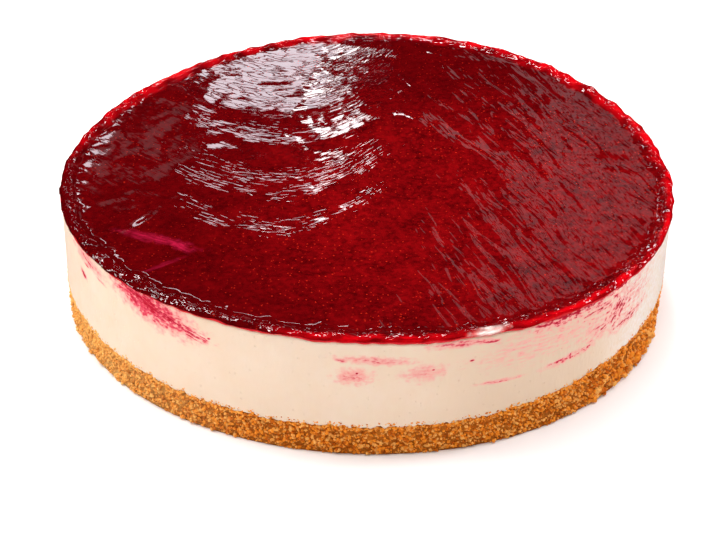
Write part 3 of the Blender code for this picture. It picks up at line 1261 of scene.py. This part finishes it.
@dataclass
class CrumbBase:
    """The pressed crumbs: a craggy core, darker than the grains as painted shade in the gaps, and the loose
    grains that show on it.
    """

    form: CakeForm
    # Painted shade: the core's colours are darker than the grains', for the shade in the gaps between them.
    finish: CrumbFinish = CrumbFinish("crumb_core", (0.65, 0.20, 0.014, 1.0), (0.30, 0.068, 0.004, 1.0))
    segments: int = 1024
    rows: int = 20
    rise: tuple = (0.94, 0.88)
    foot_inset: float = 0.0009
    foot_step: float = 0.004
    fine_relief: float = 0.00035
    fine_grain: float = 0.0011
    relief: float = 0.0009
    seed: int = 11
    grains: int = 19500
    smallest: float = 0.00032
    largest: float = 0.00088
    recess: float = 0.0008
    back_inset: float = 0.0010
    strays: float = 0.24
    stray_rise: float = 0.0028
    lumps: int = 60
    lump_angles: tuple = (-48.0, -22.0)
    lump_top: float = 0.010
    lump_sizes: tuple = (0.0011, 0.0019)
    shapes: int = 8
    uneven: float = 0.00018
    shares: tuple = ((CrumbKind.PALE, 0.36), (CrumbKind.GOLDEN, 0.42), (CrumbKind.BROWN, 0.22))

    def wall(self, angle: float, z: float) -> float:
        """Radius of the core's wall.

        Args:
            angle: Angle round the cake.
            z: Height above the foot.

        Returns:
            The radius.
        """
        form = self.form
        grain = polar(angle, form.radius, z) / form.crumb_grain
        relief = self.relief * noise.noise(grain) + self.relief / 2 * noise.noise(grain * 2.3)
        relief -= self.back_inset * smooth(-0.42, -0.10, math.sin(angle))
        return form.radius * form.plan_scale(angle, z) + relief

    def place(self, angle: float, radius: float, share: float) -> Vector:
        """Place of a point of the core.

        Args:
            angle: Angle round the cake.
            radius: Nominal radius.
            share: 1 on the top face and 0 on the bottom face.

        Returns:
            The place.
        """
        form = self.form
        z = share * form.crumb_top(angle, radius)
        if radius < form.radius - self.foot_inset / 2:
            return polar(angle, radius * form.plan_scale(angle, z), z)
        fine = self.fine_relief * noise.noise(polar(angle, form.radius, z) / self.fine_grain)
        return polar(angle, self.wall(angle, z) - self.recess + fine, z)

    def core(self, groups: Groups) -> Object:
        """Makes the core.

        Args:
            groups: The shared effects.

        Returns:
            The dressed piece.
        """
        foot_insets = (self.foot_inset, self.foot_step)
        skin = walled_skin(self.form.radius, self.segments, self.rows, self.rise, foot_insets)
        skin.shape(self.place)
        piece = skin.finish("crumb_core")
        piece.data.materials.append(self.finish.build(groups))
        return piece

    def grain_shape(self, rng: np.random.Generator) -> tuple[np.ndarray, np.ndarray]:
        """Models one crumb.

        Args:
            rng: Source of its dents.

        Returns:
            Its points and its faces.
        """
        bm = bmesh.new()
        bmesh.ops.create_icosphere(bm, subdivisions=1, radius=1.0)
        for vert in bm.verts:
            vert.co *= float(rng.uniform(0.68, 1.12))
        points = np.array([v.co for v in bm.verts])
        faces = np.array([[v.index for v in f.verts] for f in bm.faces])
        bm.free()
        return points, faces

    def spot(self, rng: np.random.Generator) -> tuple[float, float, float, float]:
        """Picks a crumb's place on the wall, now and then on the filling's edge.

        Args:
            rng: Source of the place and the size.

        Returns:
            Its angle, its distance from the axis, its height and its size.
        """
        angle = float(rng.uniform(-math.pi, math.pi))
        top = self.form.crumb_top(angle, self.form.radius)
        size = self.smallest + (self.largest - self.smallest) * float(rng.random()) ** 1.6
        sunk = float(rng.normal(0.0, self.uneven))
        if rng.random() < self.strays:
            z = top - size / 2 + self.stray_rise * float(rng.random()) ** 3.4
            out = self.form.radius * self.form.plan_scale(angle, z) - 0.45 * size
            return angle, out, z, 0.9 * size
        z = size + (top + 0.0002 - size) * float(rng.random())
        return angle, self.wall(angle, z) - self.recess + 0.25 * size + sunk, z, size

    def lump_spot(self, rng: np.random.Generator) -> tuple[float, float, float, float]:
        """Picks the place of one of the larger lumps at the right front.

        Args:
            rng: Source of the place and the size.

        Returns:
            Its angle, its distance from the axis, its height and its size.
        """
        angle = math.radians(float(rng.uniform(*self.lump_angles)))
        size = float(rng.uniform(*self.lump_sizes))
        z = size + (self.lump_top - size) * float(rng.random()) ** 1.5
        return angle, self.wall(angle, z) - 0.3 * size, z, size

    def scatter(
        self, kind: CrumbKind, share: float, groups: Groups, rng: np.random.Generator
    ) -> Object:
        """Joins the loose grains of one kind.

        Args:
            kind: The kind of crumb.
            share: Its share of all grains.
            groups: The shared effects.
            rng: Source of the places, sizes and turns.

        Returns:
            The dressed piece.
        """
        shapes = [self.grain_shape(rng) for _ in range(self.shapes)]
        points, faces, offset = [], [], 0
        spots = [self.spot(rng) for _ in range(int(self.grains * share))]
        spots += [self.lump_spot(rng) for _ in range(int(self.lumps * share))]
        for angle, out, z, size in spots:
            amount = float(rng.uniform(0, math.tau))
            turn = Matrix.Rotation(amount, 3, Vector(rng.normal(size=3)).normalized())
            stretch = np.diag(size * rng.uniform(0.75, 1.3, 3))
            shape, sides = shapes[int(rng.integers(len(shapes)))]
            points.append(shape @ stretch @ np.array(turn).T + np.array(polar(angle, out, z)))
            faces.append(sides + offset)
            offset += len(shape)
        mesh = bpy.data.meshes.new("crumbs_" + kind.name.lower())
        mesh.from_pydata(np.concatenate(points).tolist(), [], np.concatenate(faces).tolist())
        mesh.materials.append(kind.value.build(groups))
        piece = bpy.data.objects.new(mesh.name, mesh)
        bpy.context.scene.collection.objects.link(piece)
        return piece

    def build(self, groups: Groups) -> list[Object]:
        """Makes the core and its grains.

        Args:
            groups: The shared effects.

        Returns:
            The dressed pieces.
        """
        rng = np.random.default_rng(self.seed)
        core = self.core(groups)
        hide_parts("crumb_base")
        pieces = [core]
        for kind, share in self.shares:
            pieces.append(self.scatter(kind, share, groups, rng))
        for piece in pieces:
            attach(piece, "root")
        return pieces


@dataclass(frozen=True)
class Softbox:
    """A flat studio light, placed by where it stands as seen from the cake."""

    name: str
    azimuth: float
    elevation: float
    distance: float
    width: float
    height: float
    radiance: float
    tint: tuple[float, float, float] = (1.0, 1.0, 1.0)
    mirrored: bool = True

    def build(self) -> Object:
        """Makes the light. Azimuth 0 is behind the cake and 90 to its right.

        Returns:
            The light.
        """
        a, e = math.radians(self.azimuth), math.radians(self.elevation)
        toward = Vector((math.sin(a) * math.cos(e), math.cos(a) * math.cos(e), math.sin(e)))
        data = bpy.data.lights.new(self.name, "AREA")
        data.shape = "RECTANGLE"
        data.size, data.size_y = self.width, self.height
        data.energy = self.radiance * math.pi * self.width * self.height
        data.color = self.tint
        light = bpy.data.objects.new(self.name, data)
        light.location = toward * self.distance + Vector((0, 0, 0.05))
        light.rotation_mode = "QUATERNION"
        light.rotation_quaternion = toward.to_track_quat("Z", "Y")
        light.visible_camera = False
        light.visible_glossy = self.mirrored
        bpy.context.scene.collection.objects.link(light)
        return light


COOL = (0.93, 0.92, 1.0)
PINK = (1.0, 0.90, 0.94)
ROSE = (1.0, 0.92, 0.94)


@dataclass
class Studio:
    """The floor, the lights and the camera."""

    lights: tuple = (
        Softbox("back_left_box", -6.8, 23.85, 2.0, 0.205, 0.157, 7.0, COOL),
        Softbox("glint_box", -3.0, 26.2, 2.0, 0.055, 0.085, 16.0, (1.0, 0.97, 0.98)),
        Softbox("haze_box", 8.5, 22.0, 2.0, 0.18, 0.13, 0.60, PINK),
        Softbox("far_left_box", -17.5, 25.0, 2.0, 0.08, 0.09, 7.0, COOL),
        *(
            Softbox(f"back_right_strip_{number}", azimuth, 31.0, 2.0, 0.070, 0.50, 0.63, (1.0, 0.90, 0.95))
            for number, azimuth in ((1, 9.9), (2, 13.2), (3, 16.5))
        ),
        Softbox("back_left_strip_1", -12.6, 26.4, 2.1, 0.060, 0.14, 0.34, PINK),
        Softbox("back_left_strip_2", -15.3, 26.2, 2.1, 0.050, 0.14, 0.34, PINK),
        Softbox("overhead_box", 0.0, 89.0, 1.7, 2.2, 2.2, 2.1, mirrored=False),
        Softbox("top_left_box", -75.0, 62.0, 1.6, 0.26, 0.22, 40.0, ROSE),
        Softbox("top_box", -10.0, 68.0, 1.6, 0.30, 0.22, 44.0, ROSE),
        Softbox("left_box", -92.0, 27.0, 1.6, 0.42, 0.48, 16.6),
        Softbox("right_box", 74.0, 27.0, 1.6, 0.40, 0.45, 19.5, (0.95, 0.94, 1.0)),
        Softbox("front_fill", 180.0, 42.0, 1.9, 1.6, 1.0, 1.15, (1.0, 0.87, 0.75), mirrored=False),
    )
    floor_size: float = 9.0
    floor_tones: tuple = ((0.90, 0.90, 0.90, 1.0), (0.92, 0.92, 0.92, 1.0))
    backdrop: float = 0.80
    sky: tuple = (0.003, 0.8)
    sky_edge: tuple = (0.60, 0.95)
    camera_place: tuple = (0.0001, -0.5672, 0.3832)
    camera_target: tuple = (-0.0023, -0.0141, 0.0065)
    camera_roll: float = math.radians(1.03)
    lens: float = 75.0

    def floor(self) -> Object:
        """Makes the plain pale floor.

        Returns:
            The floor.
        """
        bm = bmesh.new()
        bmesh.ops.create_grid(bm, x_segments=1, y_segments=1, size=self.floor_size / 2)
        mesh = bpy.data.meshes.new("studio_floor")
        bm.to_mesh(mesh)
        bm.free()
        material, sheet, shader = new_material("studio_floor")
        tone = sheet.noise(sheet.node("TexCoord").outputs["Object"], 2.0)
        color = sheet.mix(tone, *self.floor_tones)
        sheet.feed(shader.inputs["Base Color"], color)
        shader.inputs["Roughness"].default_value = 0.9
        shader.inputs["Specular IOR Level"].default_value = 0.1
        mesh.materials.append(material)
        floor = bpy.data.objects.new("studio_floor", mesh)
        floor.visible_glossy = False
        bpy.context.scene.collection.objects.link(floor)
        return floor

    def world(self) -> None:
        """Lights the room softly from above. Its walls look pale but give no light."""
        world = bpy.data.worlds.new("studio")
        world.use_nodes = True
        bpy.context.scene.world = world
        sheet = Sheet(world.node_tree)
        up = sheet.split(sheet.node("TexCoord").outputs["Generated"])[2]
        rays = sheet.node("LightPath").outputs
        lit = sheet.times(sheet.step(up, *self.sky_edge, self.sky), rays["Is Diffuse Ray"])
        shade = sheet.math("MULTIPLY_ADD", rays["Is Camera Ray"], self.backdrop, lit)
        background = world.node_tree.nodes["Background"]
        background.inputs["Color"].default_value = (1.0, 1.0, 1.0, 1.0)
        sheet.feed(background.inputs["Strength"], shade)

    def camera(self) -> Object:
        """Places the camera as in the photograph.

        Returns:
            The camera.
        """
        data = bpy.data.cameras.new("camera")
        data.sensor_width = 36.0
        data.lens = self.lens
        camera = bpy.data.objects.new("camera", data)
        camera.location = self.camera_place
        aim = (Vector(self.camera_target) - Vector(self.camera_place)).to_track_quat("-Z", "Y")
        camera.rotation_mode = "QUATERNION"
        camera.rotation_quaternion = aim @ Matrix.Rotation(self.camera_roll, 3, "Z").to_quaternion()
        bpy.context.scene.collection.objects.link(camera)
        bpy.context.scene.camera = camera
        return camera

    def build(self) -> None:
        """Sets up the studio."""
        self.floor()
        self.world()
        for light in self.lights:
            light.build()
        self.camera()
        bpy.context.scene.view_settings.view_transform = "Standard"


def report(piece: Object) -> None:
    """Logs a piece's name and size."""
    piece.data.calc_loop_triangles()
    log.info("%s: %d triangles", piece.name, len(piece.data.loop_triangles))


def main() -> None:
    """Builds the dressed cake and its studio."""
    form, groups = CakeForm(), Groups()
    report(JellyLayer(form).build(groups))
    report(Filling(form).build(groups))
    for piece in CrumbBase(form).build(groups):
        report(piece)
    Studio().build()


if __name__ == "__main__":
    main()
